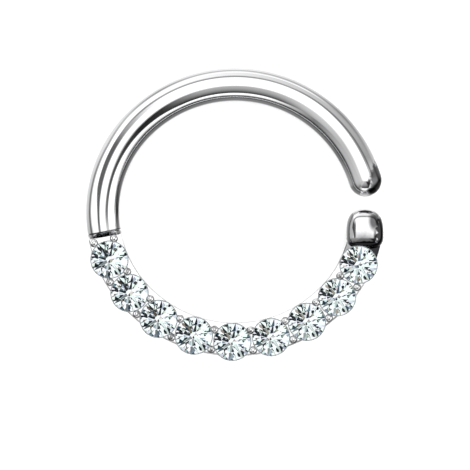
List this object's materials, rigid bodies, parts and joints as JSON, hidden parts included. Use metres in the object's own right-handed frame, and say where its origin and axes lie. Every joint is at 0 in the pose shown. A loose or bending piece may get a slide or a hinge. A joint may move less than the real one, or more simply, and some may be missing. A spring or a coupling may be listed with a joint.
{
  "type": "septum ring",
  "caption": "Open hoop of round polished wire with a curved row of round clear stones in bead prongs, worn through a septum piercing.",
  "frame": {"origin": "middle of the hoop, at the height of the flat surface that it lies on, stones up", "axes": "+Z is the hoop's axis, out of its plane the way the stones face; +X points to the gap; +Y points to the middle of the plain wire"},
  "size_m": [0.0106, 0.0105, 0.0013],
  "materials": {
    "steel": "mirror-polished surgical steel",
    "stone": "clear, colourless, faceted and polished"
  },
  "bodies": {
    "root": {"hoop": "steel", "stone_1": "stone", "stone_2": "stone", "stone_3": "stone", "stone_4": "stone", "stone_5": "stone", "stone_6": "stone", "stone_7": "stone", "stone_8": "stone", "stone_9": "stone"}
  },
  "joints": []
}
